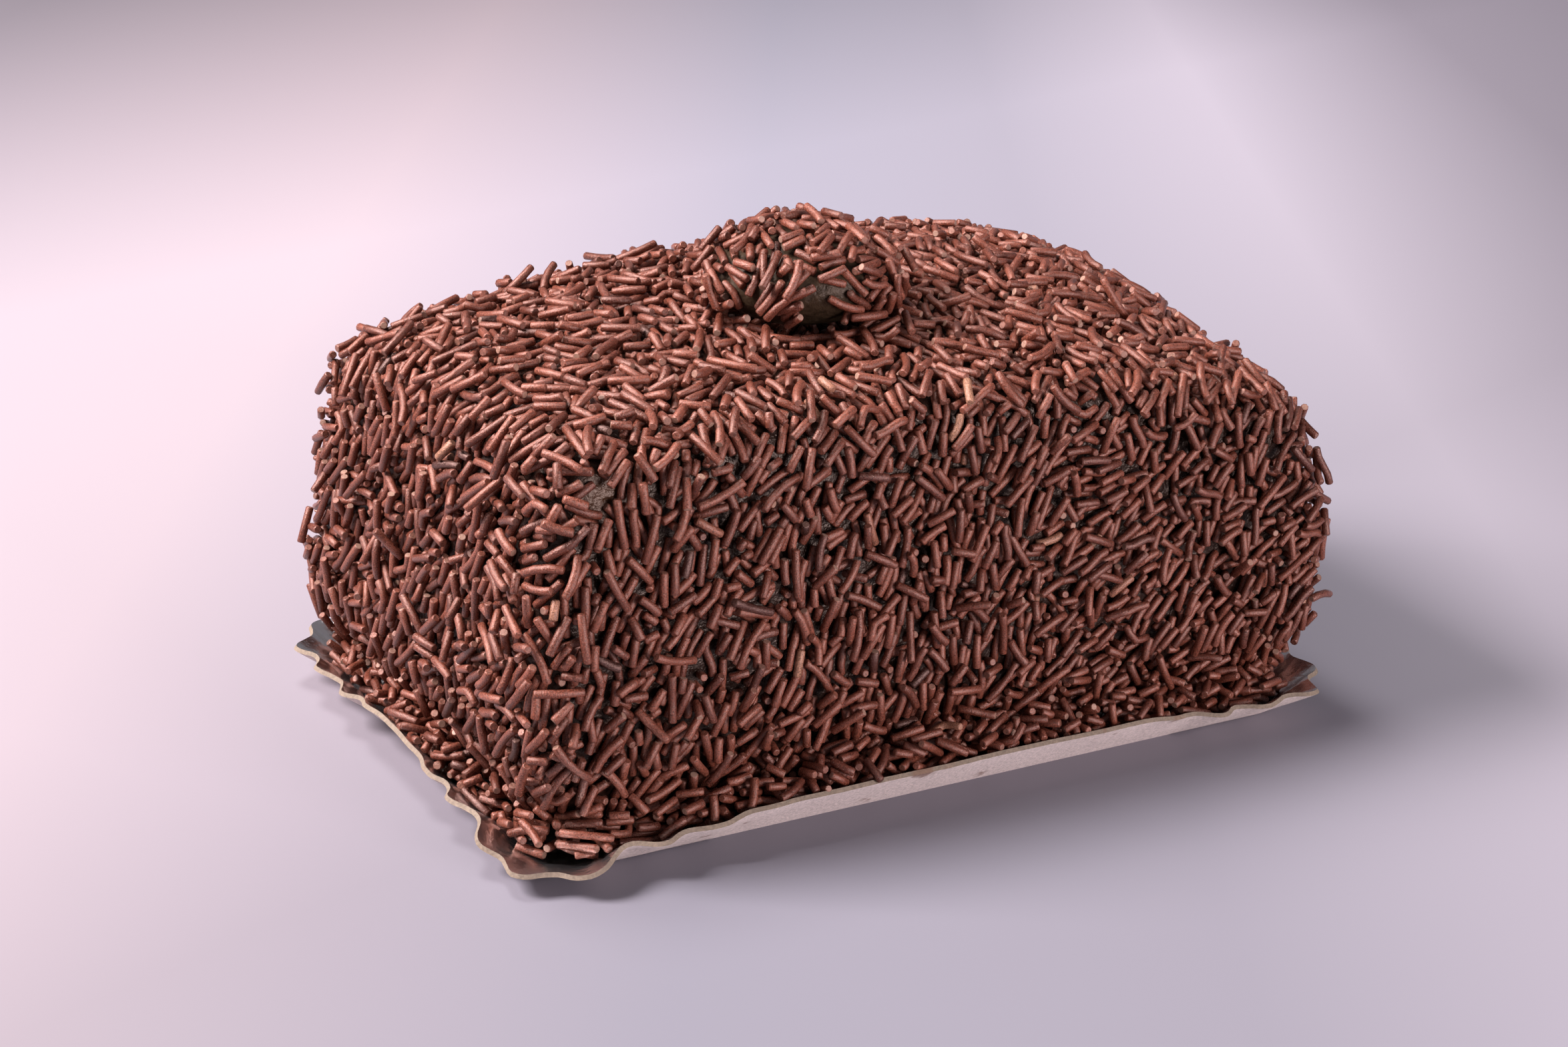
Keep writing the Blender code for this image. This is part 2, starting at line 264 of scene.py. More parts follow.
def core_of(node, name, inset, voxel, smoothing):
    """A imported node's shape drawn in by a distance, with even faces."""
    bm = bmesh.new()
    bm.from_mesh(nodes[node].data)
    bmesh.ops.remove_doubles(bm, verts=bm.verts, dist=0.001 * MM)
    mesh = bpy.data.meshes.new(name)
    bm.to_mesh(mesh)
    bm.free()
    core = bpy.data.objects.new(name, mesh)
    SCENE.objects.link(core)
    draw_in = core.modifiers.new("Draw in", "DISPLACE")
    draw_in.strength = -inset * MM
    draw_in.mid_level = 0.0
    even = core.modifiers.new("Even faces", "REMESH")
    even.mode = "VOXEL"
    even.voxel_size = voxel * MM
    smooth = core.modifiers.new("Smooth", "SMOOTH")
    smooth.iterations = smoothing
    apply_modifiers(core)
    core.data.shade_smooth()
    return core


def surface(obj):
    """Points and outward normals of a mesh, in millimetres, and a tree that finds the nearest."""
    count = len(obj.data.vertices)
    points, normals = np.empty(count * 3), np.empty(count * 3)
    obj.data.vertices.foreach_get("co", points)
    obj.data.vertices.foreach_get("normal", normals)
    points = points.reshape(-1, 3) / MM
    tree = BVHTree.FromPolygons(points.tolist(), [face.vertices[:] for face in obj.data.polygons])
    return points, normals.reshape(-1, 3), tree


cake_core = core_of("cake", "cake_frosting", COAT, CORE_VOXEL, 6)
ball_core = core_of("brigadeiro_ball", "ball_fudge", COAT, CORE_VOXEL, 4)
# The heap in the tray gets a core too. Later it wears the near-black frosting as painted shade for the dark
# gaps between its loose sprinkles.
bed_core = core_of("sprinkle_bed", "bed_heap", 1.0, 0.7, 2)
for vert in bed_core.data.vertices:
    vert.co.z *= HEAP_SINK
for core in (cake_core, ball_core, bed_core):
    print(core.name, len(core.data.polygons), "faces")

# %% [markdown]
# ## The tray
#
# The tray is grey card about 0.6 mm thick with silver foil on its inner face. It was pressed from a
# flat sheet, so the card gathers into crimps at the corners. Its outline is a rectangle with round
# corners. Here the wall rises from the floor's edge to the rim in rings, each pushed out and in by
# a wave that is strong near the corners and dies out along the sides. One corner has been pressed
# down and out, so that the foil inside shows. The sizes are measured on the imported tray, and
# Solidify gives the card its thickness and its raw edge.

# %% Tray sizes
CARD = 0.6
WALL_HEIGHT = 6.4
RIM_CORNER = 11.0  # radius of the rim's corners
CRIMP_DEPTH = 1.25
CRIMP_PITCH = 8.6
CRIMP_FULL = 18.0  # up to here from a corner's middle the crimps have their full depth
CRIMP_REACH = 36.0  # and here they end
CRIMP_DROOP = 1.5  # how far the rim hangs lower at a corner
CRIMP_DRIFT = 1.9  # how unevenly the crimps follow each other, in radians
CRIMP_DRIFT_SIZE = 17.0
CRIMP_LEAST = 0.35  # depth of the shallowest crimp, as a share of the full depth
CRIMP_CHANGE_SIZE = 9.0
RIM_WAVE = 0.25  # how far the rim rises and falls as it goes round
FOLD_DOWN, FOLD_OUT = 2.3, 1.3  # how far one corner is pressed down and out
FOLD_FULL, FOLD_END = 6.0, 15.0  # distances from that corner
CREASE, CREASE_AT_CRIMPS, CREASE_SIZE = 0.06, 0.14, 1.6  # fine creases, deeper in the crimps
DENT, DENT_SIZE = 0.35, 11.0
OUTSIDE = 90.0  # beyond the tray on every side
tray_points, _, tray_tree = surface(nodes["card_tray"])
beside = tray_tree.find_nearest((OUTSIDE, 0.0, WALL_HEIGHT))[0]
behind = tray_tree.find_nearest((0.0, OUTSIDE, WALL_HEIGHT))[0]
RIM_HALF = (beside.x, behind.y)
on_floor = np.abs(tray_points[tray_points[:, 2] < 0.1]).max(axis=0)
FLARE = RIM_HALF[0] - on_floor[0]  # how far the rim stands out from the floor's edge
print("rim", RIM_HALF, "flare", FLARE)


# %% Tray
STATION = 0.7  # between two points along the rim
WALL_RINGS = 9


def smooth_step(value, start, end):
    t = np.clip((value - start) / (end - start), 0.0, 1.0)
    return t * t * (3.0 - 2.0 * t)


def rim_stations(step):
    """Places along the rim, the way out, the way travelled and how far the corner's middle is."""
    straight = (RIM_HALF[0] - RIM_CORNER, RIM_HALF[1] - RIM_CORNER)
    arc = math.pi / 2 * RIM_CORNER
    rows, travelled = [], 0.0
    for index, (side_x, side_y) in enumerate(((1, 1), (-1, 1), (-1, -1), (1, -1))):
        centre = np.array([side_x * straight[0], side_y * straight[1], 0.0])
        for along in np.linspace(0.0, arc, round(arc / step), endpoint=False):
            angle = math.pi / 2 * (index + along / arc)
            way = np.array([math.cos(angle), math.sin(angle), 0.0])
            rows.append((centre + RIM_CORNER * way, way, travelled + along, abs(along - arc / 2)))
        travelled += arc
        angle = math.pi / 2 * (index + 1)
        way = np.array([math.cos(angle), math.sin(angle), 0.0])
        ahead = np.array([-way[1], way[0], 0.0])
        side = 2.0 * straight[index % 2]
        for along in np.linspace(0.0, side, round(side / step), endpoint=False):
            place = centre + RIM_CORNER * way + ahead * along
            rows.append((place, way, travelled + along, arc / 2 + min(along, side - along)))
        travelled += side
    return rows


def ripple(travelled, size, second, seed):
    """A smooth random value along the rim, about -1 to 1."""
    return noise.noise(Vector((travelled / size, second, seed)))


def wall_ring(stations, up):
    """One ring of the wall, from 0 at the floor's edge to 1 at the rim."""
    points = []
    for place, way, travelled, from_corner in stations:
        depth = 1.0 - smooth_step(from_corner, CRIMP_FULL, CRIMP_REACH)
        drift = ripple(travelled, CRIMP_DRIFT_SIZE, 3.0, 0.0)
        change = 0.5 + ripple(travelled, CRIMP_CHANGE_SIZE, 0.0, 6.0)
        strength = CRIMP_LEAST + (1.0 - CRIMP_LEAST) * min(max(change, 0.0), 1.0)
        wave = strength * math.cos(2.0 * math.pi * travelled / CRIMP_PITCH + CRIMP_DRIFT * drift)
        crease = ripple(travelled, CREASE_SIZE, 4.0 * up, 9.0) * (CREASE + CREASE_AT_CRIMPS * depth)
        dent = DENT * ripple(travelled, DENT_SIZE, 1.5 * up, 5.0)
        from_fold = math.dist(place[:2], (-RIM_HALF[0], -RIM_HALF[1]))
        fold = 1.0 - smooth_step(from_fold, FOLD_FULL, FOLD_END)
        out = FLARE * (up - 1.0) + (CRIMP_DEPTH * depth * wave + crease + dent + FOLD_OUT * fold) * up
        height = (WALL_HEIGHT - CRIMP_DROOP * depth - FOLD_DOWN * fold + RIM_WAVE * drift) * up
        points.append(place + way * out + np.array([0.0, 0.0, height]))
    return points


def build_tray():
    stations = rim_stations(STATION)
    bm = bmesh.new()
    shares = [i / WALL_RINGS for i in range(WALL_RINGS + 1)]
    rings = [[bm.verts.new(point * MM) for point in wall_ring(stations, up)] for up in shares]
    count = len(stations)
    for below, above in zip(rings, rings[1:]):
        for i in range(count):
            j = (i + 1) % count
            bm.faces.new((below[i], below[j], above[j], above[i]))
    floor = bm.faces.new(list(reversed(rings[0])))
    bmesh.ops.poke(bm, faces=[floor])
    mesh = bpy.data.meshes.new("foil_tray")
    bm.to_mesh(mesh)
    bm.free()
    tray = bpy.data.objects.new("foil_tray", mesh)
    SCENE.objects.link(tray)
    for name in ("card", "foil", "edge"):
        mesh.materials.append(bpy.data.materials.new(name))
    card = tray.modifiers.new("Card", "SOLIDIFY")
    card.thickness = CARD * MM
    card.offset = -1.0
    card.use_even_offset = True
    card.material_offset = 1
    card.material_offset_rim = 2
    apply_modifiers(tray)
    tray.data.shade_smooth()
    tray.data.set_sharp_from_angle(angle=math.radians(40))
    return tray


tray = build_tray()
print("tray", len(tray.data.polygons), "faces")

# %% [markdown]
# ## Kinds of sprinkle
#
# Chocolate sprinkles are squeezed out as soft strings a millimetre or so thick, which break into
# short rods as they dry. Most are straight, some are bent, a few are kinked, and their flat ends
# have a slightly rounded rim. One kind is a tube of eight sides swept along a middle line, with a
# small bevel at each end. About twenty kinds, turned every way, are enough for the eye never to
# find the same one twice, and each has only a few dozen faces because thousands are needed.

# %% Middle lines
RADIUS = 0.545
BEVEL = 0.16  # length of the rounded rim at each end
CAP = 0.76  # width of the flat end, as a share of the whole
LUMP = 0.11  # how much the thickness changes along one
SIDES = 8
UPWARD = np.array([0.0, 0.0, 1.0])
KINDS = (  # length, bend in degrees, form of the bend, thickness, share
    (1.4, 0, "straight", 0.98, 2),
    (2.0, 0, "straight", 1.03, 5),
    (2.5, 0, "straight", 0.99, 8),
    (3.1, 6, "arc", 1.05, 11),
    (3.5, 0, "straight", 0.97, 12),
    (3.9, 5, "arc", 1.04, 12),
    (4.5, 7, "arc", 0.99, 11),
    (5.1, 5, "arc", 1.03, 8),
    (6.1, 8, "arc", 0.98, 3.5),
    (3.3, 20, "arc", 1.02, 7),
    (3.9, 26, "arc", 1.06, 7),
    (4.7, 30, "arc", 0.97, 6),
    (5.4, 38, "arc", 1.02, 5),
    (6.6, 34, "arc", 0.99, 2.2),
    (3.8, 60, "arc", 0.99, 1.5),
    (4.3, 58, "kink", 1.01, 2),
    (5.1, 78, "kink", 0.98, 1.2),
    (5.0, 30, "wave", 1.03, 2),
    (6.1, 24, "wave", 0.97, 1),
)


def middle_line(length, bend, form, count):
    """Points along a sprinkle's middle, evenly apart, in its own XY plane."""
    fine = np.linspace(-0.5, 0.5, 121)
    if form == "kink":
        angle = 0.5 * math.radians(bend) * np.tanh(9.0 * fine)
    elif form == "wave":
        angle = 0.5 * math.radians(bend) * np.cos(2.0 * math.pi * fine)
    else:
        angle = math.radians(bend) * fine
    step = length / (len(fine) - 1)
    line = np.stack((np.cos(angle), np.sin(angle), np.zeros_like(angle)), axis=1).cumsum(axis=0) * step
    line -= line.mean(axis=0)
    at = np.linspace(0, len(fine) - 1, count).round().astype(int)
    return line[at], angle[at]


def segments_of(bend, form):
    return {"straight": 1, "arc": 2 if bend < 20 else 3, "kink": 4, "wave": 4}[form]


print(len(KINDS), "kinds")

# %% Sprinkle meshes
def sprinkle_mesh(index, length, bend, form, thickness):
    """A tube along a middle line with bevelled flat ends, unrolled onto a UV sheet of its own."""
    count = segments_of(bend, form) + 1
    line, angle = middle_line(length, bend, form, count)
    radius = RADIUS * thickness
    lump = [1.0 + LUMP * noise.noise(Vector((index * 7.1, i * 1.7, 0.0))) for i in range(count)]
    rings = [(line[i], angle[i], radius * lump[i], 0.0) for i in range(count)]
    for place, sign in ((0, -1), (-1, 1)):
        centre, turn, wide, _ = rings[place]
        ahead = sign * np.array([math.cos(turn), math.sin(turn), 0.0])
        rings[place] = (centre - BEVEL * ahead, turn, wide, 0.0)
        rings.insert(0 if sign < 0 else len(rings), (centre, turn, wide * CAP, 1.0))
    bm = bmesh.new()
    end = bm.verts.layers.float.new("end")
    sheet = bm.loops.layers.uv.new("sheet")
    loops = []
    for centre, turn, wide, is_end in rings:
        across = np.array([-math.sin(turn), math.cos(turn), 0.0])
        ring = []
        for k in range(SIDES):
            round_it = 2.0 * math.pi * k / SIDES + index
            point = centre + wide * (math.cos(round_it) * across + math.sin(round_it) * UPWARD)
            vert = bm.verts.new(point * MM)
            vert[end] = is_end
            ring.append(vert)
        loops.append(ring)
    rows = len(loops) - 1
    for row in range(rows):
        for k in range(SIDES):
            j = (k + 1) % SIDES
            face = bm.faces.new((loops[row][k], loops[row][j], loops[row + 1][j], loops[row + 1][k]))
            places = ((k, row), (k + 1, row), (k + 1, row + 1), (k, row + 1))
            for loop, (u, v) in zip(face.loops, places):
                loop[sheet].uv = (0.04 + 0.92 * u / SIDES, 0.04 + 0.60 * v / rows)
            face.smooth = True
    for ring, middle in ((list(reversed(loops[0])), 0.2), (loops[-1], 0.7)):
        face = bm.faces.new(ring)
        for k, loop in enumerate(face.loops):
            turn = 2.0 * math.pi * k / SIDES
            loop[sheet].uv = (middle + 0.13 * math.cos(turn), 0.83 + 0.13 * math.sin(turn))
    bmesh.ops.recalc_face_normals(bm, faces=bm.faces)
    mesh = bpy.data.meshes.new(f"sprinkle_kind_{index:02d}")
    bm.to_mesh(mesh)
    bm.free()
    return mesh


kinds = bpy.data.collections.new("sprinkle_kinds")
for index, (length, bend, form, thickness, share) in enumerate(KINDS):
    mesh = sprinkle_mesh(index, length, bend, form, thickness)
    kinds.objects.link(bpy.data.objects.new(mesh.name, mesh))

# %% [markdown]
# ## Room between the sprinkles
#
# Sprinkles were pressed on by hand, so they lie flat on the frosting, lean on each other and bridge
# the gaps between those below. To copy that, each new one has to know how much room is left. A grid
# of points half a millimetre apart holds two distances: to the nearest sprinkle's middle line, and
# to the nearest core or tray. Between the points the distances are blended, so that 20 MB stand in
# for a search through thousands of neighbours.

# %% Grid of distances
STEP = 0.5
REACH = 2.6  # how far from a sprinkle the grid is written
BAND = 3  # cells of the coarse grid, a millimetre each, on both sides of a core's face
MARGIN = 7.0
LOW = np.array(cad_box[0][:]) / MM - MARGIN
COARSE = tuple(int(n) + 1 for n in np.ceil((np.array(cad_box[1][:]) / MM + MARGIN - LOW) / (2 * STEP)))
SIZE = np.array([2 * n - 1 for n in COARSE])
STRIDES = np.array([SIZE[1] * SIZE[2], SIZE[2], 1])
CORNERS = (np.indices((2, 2, 2)).reshape(3, 8).T @ STRIDES).astype(np.int64)


def core_distances(surfaces):
    """Signed distances from the coarse grid's points to the nearest of these surfaces."""
    grid = np.full(COARSE, float(BAND), np.float32)
    around = np.indices((2 * BAND + 1,) * 3).reshape(3, -1).T - BAND
    for points, tree, open_rim in surfaces:
        cells = np.unique(np.rint((points - LOW) / (2 * STEP)).astype(int), axis=0)
        near = np.zeros(COARSE, bool)
        for offset in around:
            near[tuple((cells + offset).T)] = True
        found = np.argwhere(near)
        for cell, place in zip(map(tuple, found.tolist()), (LOW + found * 2 * STEP).tolist()):
            spot, normal, _, away = tree.find_nearest(place)
            inside = (Vector(place) - spot).dot(normal) < 0.0
            if open_rim and place[2] > spot.z:
                inside = inside and place[2] < WALL_HEIGHT - CRIMP_DROOP - CARD
            grid[cell] = min(grid[cell], -away if inside else away)
    return grid


def doubled(grid, axis):
    """The grid with a middle value put between each two along an axis."""
    grid = np.moveaxis(grid, axis, 0)
    fine = np.empty((2 * len(grid) - 1, *grid.shape[1:]), grid.dtype)
    fine[::2] = grid
    fine[1::2] = 0.5 * (grid[:-1] + grid[1:])
    return np.moveaxis(fine, 0, axis)


def foil_surface():
    """The tray's inner face alone, as a tree, with the points on it."""
    mesh = tray.data
    faces = [face.vertices[:] for face in mesh.polygons if face.material_index == 1]
    points = np.array([vert.co for vert in mesh.vertices]) / MM
    used = sorted({index for face in faces for index in face})
    return points[used], BVHTree.FromPolygons(points.tolist(), faces)


cake_points, cake_normals, cake_tree = surface(cake_core)
ball_points, ball_normals, ball_tree = surface(ball_core)
bed_points, bed_normals, bed_tree = surface(bed_core)
foil_points, foil_tree = foil_surface()
grid = core_distances(
    (
        (cake_points, cake_tree, False),
        (ball_points, ball_tree, False),
        (bed_points, bed_tree, False),
        (foil_points, foil_tree, True),
    )
)
for axis in range(3):
    grid = doubled(grid, axis)
field = np.full((*SIZE, 2), REACH, np.float32)
field[..., 1] = grid
flat_field = field.reshape(-1, 2)
print("grid of", SIZE, "points")

# %% Reading and writing the grid
LINE_LOOKS = 9  # places along a sprinkle where the room is measured
LINES, SPINES = [], []
for length, bend, form, thickness, share in KINDS:
    inner = length - 0.6 * RADIUS
    LINES.append(middle_line(inner, bend, form, LINE_LOOKS)[0])
    SPINES.append(middle_line(inner, bend, form, segments_of(bend, form) + 1)[0])


def distances(points):
    """Blended distances at each point: to the nearest middle line, and to the nearest core."""
    place = np.clip((points - LOW) / STEP, 0.0, SIZE - 1.01)
    cell = place.astype(np.int64)
    part = place - cell
    weight = np.stack((1.0 - part, part), axis=2)
    weight = weight[:, 0, :, None, None] * weight[:, 1, None, :, None] * weight[:, 2, None, None, :]
    near = flat_field[(cell @ STRIDES)[:, None] + CORNERS]
    return np.einsum("nc,ncv->nv", weight.reshape(-1, 8), near)


def write_sprinkle(spine):
    """Lowers the grid's first distance round a sprinkle with this middle line."""
    for start, end in zip(spine[:-1], spine[1:]):
        first = np.maximum(np.floor((np.minimum(start, end) - REACH - LOW) / STEP).astype(int), 0)
        last = np.minimum(np.ceil((np.maximum(start, end) + REACH - LOW) / STEP).astype(int) + 1, SIZE)
        axes = [LOW[i] + STEP * np.arange(first[i], last[i]) - start[i] for i in range(3)]
        x, y, z = axes[0][:, None, None], axes[1][None, :, None], axes[2][None, None, :]
        way = end - start
        length = float(way @ way)
        at = np.clip((x * way[0] + y * way[1] + z * way[2]) / length, 0.0, 1.0)
        away = np.sqrt((x - at * way[0]) ** 2 + (y - at * way[1]) ** 2 + (z - at * way[2]) ** 2)
        block = field[first[0] : last[0], first[1] : last[1], first[2] : last[2], 0]
        np.minimum(block, away, out=block)


# %% Letting a sprinkle settle
TOUCH = 2.0 * RADIUS * 0.97  # between the middle lines of two that touch
START = (3.2, 3.2)  # least and greatest height above the frosting at which a trial starts
SETTLE_STEPS = 9
LEAP = 0.35  # how far each step goes past the room there is, to be quick in narrow places
CLOSE_ENOUGH = 0.02


def unit(vectors):
    return vectors / np.linalg.norm(vectors, axis=-1, keepdims=True)


def turned(normals, sides, fronts, azimuth, tilt, roll):
    """For each trial, the directions of its length, of its bend and across both, as rows."""
    flat = np.cos(azimuth)[:, None] * sides + np.sin(azimuth)[:, None] * fronts
    along = np.cos(tilt)[:, None] * flat + np.sin(tilt)[:, None] * normals
    across = np.cross(normals, flat)
    up = np.cross(along, across)
    across, up = (
        np.cos(roll)[:, None] * across + np.sin(roll)[:, None] * up,
        np.cos(roll)[:, None] * up - np.sin(roll)[:, None] * across,
    )
    return np.stack((along, across, up), axis=1)


def settle(places, normals, turns, line, sink, height, steps):
    """Lowers each trial from this height along its normal until it touches. Returns its height,
    the room left and how far off its neighbours lie."""
    lines = places[:, None] + line @ turns
    for _ in range(steps):
        spots = lines + height[:, None, None] * normals[:, None]
        near = distances(spots.reshape(-1, 3)).reshape(*spots.shape[:2], 2)
        room = np.minimum(near[..., 0] - TOUCH, near[..., 1] - sink).min(axis=1)
        height = height - room - np.clip(room, 0.0, LEAP)
        if np.abs(room).max() < CLOSE_ENOUGH:
            break
    return height, room, near[..., 0].mean(axis=1)


class Ground:
    """Places on a surface where sprinkles may lie, with a frame at each."""

    def __init__(self, points, normals, drift, spread, looks=(0.4, 1.1, 1.8)):
        self.points, self.normals, self.looks = points, unit(normals), looks
        upright = np.where(np.abs(self.normals[:, 2:]) < 0.9, [[0.0, 0.0, 1.0]], [[0.0, 1.0, 0.0]])
        self.sides = unit(np.cross(upright, self.normals))
        self.fronts = np.cross(self.normals, self.sides)
        self.azimuth = np.arctan2((drift * self.fronts).sum(axis=1), (drift * self.sides).sum(axis=1))
        self.spread = spread

    def open_places(self, wanted):
        """Which of the wanted places no sprinkle covers yet."""
        cover = np.full(len(wanted), REACH)
        for height in self.looks:
            near = distances(self.points[wanted] + height * self.normals[wanted])[:, 0]
            cover = np.minimum(cover, near)
        return wanted[cover > RADIUS + 0.2]


laid = []  # one row for each sprinkle: kind, place, turn, ground's name, normal
LOOK_AGAIN = 60  # sprinkles or misses between two looks at which places are still open
LONG = 3.2  # longer than this they get rarer as the coat fills
FEWER_LONG = 0.45
TRIALS = 18
RETRIALS = 12  # small changes to the best trial
SMALL_TURN, SMALL_LEAN, SMALL_ROLL, SMALL_SHIFT = 0.22, 0.14, 0.4, 0.45
SNUG_WEIGHT = 0.12  # how much lying close to others counts beside lying low
LEAN_WEIGHT = 0.25
DEEPEST_OVERLAP = 0.1
REFUSED = 9.0  # added to the score of a trial that overlaps more than that
WORST_SCORE = 8.0
LEAST_HEIGHT = 1.2  # a middle line lower than this would come through the tray's floor


def lay(
    rng, ground, name, wanted, leave, tilt, top, sink, most, free=0.2, loose=0.0, steep=0.0,
    start=START, steps=SETTLE_STEPS, patience=400,
):
    """Lays sprinkles on the wanted places until only this share of them is open.

    tilt and steep say how far they rise out of the surface, top how high one may lie and sink how
    deep it presses in. free is the share that lies anyhow, and loose the share laid on others.
    """
    shares = np.array([kind[4] for kind in KINDS], float)
    lengths = np.array([kind[0] for kind in KINDS])
    count, misses = 0, 0
    still = wanted
    while count < most and misses < patience:
        if count % LOOK_AGAIN == 0 or misses % LOOK_AGAIN == LOOK_AGAIN - 1:
            still = ground.open_places(wanted)
            if len(still) <= leave * len(wanted):
                break
            filled = 1.0 - len(still) / len(wanted)
        odds = shares * np.where(lengths > LONG, 1.0 - FEWER_LONG * filled, 1.0)
        kind = rng.choice(len(KINDS), p=odds / odds.sum())
        pool = wanted if rng.random() < loose else still
        at = pool[rng.integers(len(pool), size=TRIALS)]
        azimuth = ground.azimuth[at] + ground.spread[at] * rng.normal(size=TRIALS)
        anyhow = rng.random(TRIALS) < free
        azimuth = np.where(anyhow, rng.uniform(0.0, 2.0 * math.pi, TRIALS), azimuth)
        azimuth += math.pi * rng.integers(2, size=TRIALS)
        lean = tilt * rng.normal(size=TRIALS) + steep * rng.choice((-1.0, 1.0), TRIALS)
        roll = rng.normal(0.0, 0.5, TRIALS)
        shift = rng.uniform(-0.5, 0.5, (TRIALS, 2))
        depth = rng.uniform(*sink)
        best = None
        for trial in range(2):
            normals, sides, fronts = ground.normals[at], ground.sides[at], ground.fronts[at]
            places = ground.points[at] + shift[:, :1] * sides + shift[:, 1:] * fronts
            turns = turned(normals, sides, fronts, azimuth, lean, roll)
            above = rng.uniform(*start, len(at))
            height, room, snug = settle(places, normals, turns, LINES[kind], depth, above, steps)
            stuck = np.where(room < -DEEPEST_OVERLAP, REFUSED, 0.0)
            score = height + SNUG_WEIGHT * snug + LEAN_WEIGHT * np.abs(np.abs(lean) - steep) + stuck
            pick = int(score.argmin())
            if best is None or score[pick] < best[0]:
                best = (score[pick], height[pick], places[pick], normals[pick], turns[pick])
            at = np.full(RETRIALS, at[pick])
            azimuth = azimuth[pick] + rng.normal(0.0, SMALL_TURN, RETRIALS)
            lean = lean[pick] + rng.normal(0.0, SMALL_LEAN, RETRIALS)
            roll = roll[pick] + rng.normal(0.0, SMALL_ROLL, RETRIALS)
            shift = shift[pick] + rng.normal(0.0, SMALL_SHIFT, (RETRIALS, 2))
        score, height, place, normal, turn = best
        middle = place + height * normal
        spine = middle + SPINES[kind] @ turn
        if height > top or score > WORST_SCORE or spine[:, 2].min() < LEAST_HEIGHT:
            misses += 1
            continue
        write_sprinkle(spine)
        laid.append((kind, middle, turn, name, normal))
        count += 1
        misses = 0
    print(name, count, "sprinkles,", round(len(still) / len(wanted), 3), "of its places still open")
    return count


SHORT = (2.0, 4.2)  # lengths of those that are set on end
STEEP = (38.0, 88.0)  # degrees
DEEPEST_ON_END = 0.12


def stand(rng, ground, name, wanted, most, out):
    """Sets short sprinkles on end in the gaps, with their tips this far above the frosting."""
    short = [i for i, kind in enumerate(KINDS) if SHORT[0] < kind[0] < SHORT[1] and kind[1] < 10]
    count = 0
    for _ in range(3 * most):
        if count >= most:
            break
        if count % 40 == 0:
            still = ground.open_places(wanted)
        if len(still) == 0:
            break
        kind = short[rng.integers(len(short))]
        at = still[rng.integers(len(still), size=TRIALS)]
        normals, sides, fronts = ground.normals[at], ground.sides[at], ground.fronts[at]
        azimuth = rng.uniform(0.0, 2.0 * math.pi, TRIALS)
        lean = np.radians(rng.uniform(*STEEP, TRIALS))
        turns = turned(normals, sides, fronts, azimuth, lean, np.zeros(TRIALS))
        height = rng.uniform(*out, TRIALS) - 0.5 * KINDS[kind][0] * np.sin(lean)
        shift = rng.uniform(-0.5, 0.5, (TRIALS, 2))
        slid = shift[:, :1] * sides + shift[:, 1:] * fronts
        middles = ground.points[at] + slid + height[:, None] * normals
        spots = middles[:, None] + LINES[kind] @ turns
        near = distances(spots.reshape(-1, 3)).reshape(*spots.shape[:2], 2)
        above = near[..., 1] > 0.1
        room = np.where(above, near[..., 0] - TOUCH, 1.0).min(axis=1)
        pick = int(room.argmax())
        if room[pick] < -DEEPEST_ON_END:
            continue
        write_sprinkle(middles[pick] + SPINES[kind] @ turns[pick])
        laid.append((kind, middles[pick], turns[pick], name, normals[pick]))
        count += 1
    print(name, count, "set on end")
    return count


# %% [markdown]
# ## The coat on the cake
#
# Handfuls of sprinkles were pressed against soft frosting, so the real coat is two or three deep,
# with gaps in which the frosting shows. Along the upright edges they stand upright, on the sides
# they slant in loose sheaves, and on the top they lie anyhow. A slow random angle over the surface
# gives each place its own way, and each sprinkle strays a little from it.
#
# Scattering them at random would let them pass through each other, and a simulation of seven
# thousand rods would take hours. Here each one tries a few places that nothing covers yet, slides
# down the normal until it touches, and keeps the lowest. The coat grows in passes: a layer that
# lies flat, short ones set on end in its gaps, a looser layer that bridges them, clumps, and a few
# strays that stick out. One spot near an upper corner stays bare.

# %% The way sprinkles lie on the cake
BARE_SPOT = np.array((-51.0, -34.2, 47.5))  # where the coat has come off near the upper corner
BARE_REACH = 3.9
BALL_ROOM = 0.9  # nothing is laid nearer to the ball than this
FOOT = 5.0  # below this the tray's loose sprinkles cover the cake
GAP_SIZE = 3.2
GAPS_ON_SIDES, GAPS_ON_TOP = 0.42, 0.62  # frosting shows where the random value is above this
CLUMP_SIZE = 7.0
CLUMPS = 0.12  # and sprinkles pile up where it is above this
TOP_FACE, END_FACE = 0.6, 0.75  # a normal with this much of up or of across belongs to it
COAT_SEED = 11


def cloudy(points, size, seed):
    """A slow random value at each point, about -1 to 1."""
    shift = Vector((seed, 0.0, -seed))
    return np.array([noise.noise(Vector(point) / size + shift) for point in points.tolist()])


def drift_on_cake(points, normals):
    """The way in which most sprinkles lie: upright near the upright edges, slanting in between."""
    slant = np.radians(52.0 + 55.0 * cloudy(points, 24.0, 4.0))
    along_x = np.stack((np.cos(slant), np.zeros(len(points)), np.sin(slant)), axis=1)
    along_y = np.stack((np.zeros(len(points)), -0.5 * np.cos(slant), np.sin(slant)), axis=1)
    end_face = smooth_step(np.abs(normals[:, 0]), 0.5, 0.85)[:, None]
    side = along_x * (1.0 - end_face) + along_y * end_face
    at_edge = smooth_step(np.abs(normals[:, :2]).min(axis=1), 0.2, 0.45)[:, None]
    side = side * (1.0 - at_edge) + np.array([[0.0, 0.0, 1.0]]) * at_edge
    top = np.stack((np.cos(2.0 * slant), np.sin(2.0 * slant), np.zeros(len(points))), axis=1)
    on_top = smooth_step(normals[:, 2], 0.5, 0.8)[:, None]
    return side * (1.0 - on_top) + top * on_top


print("bare within", BARE_REACH, "mm of", BARE_SPOT)

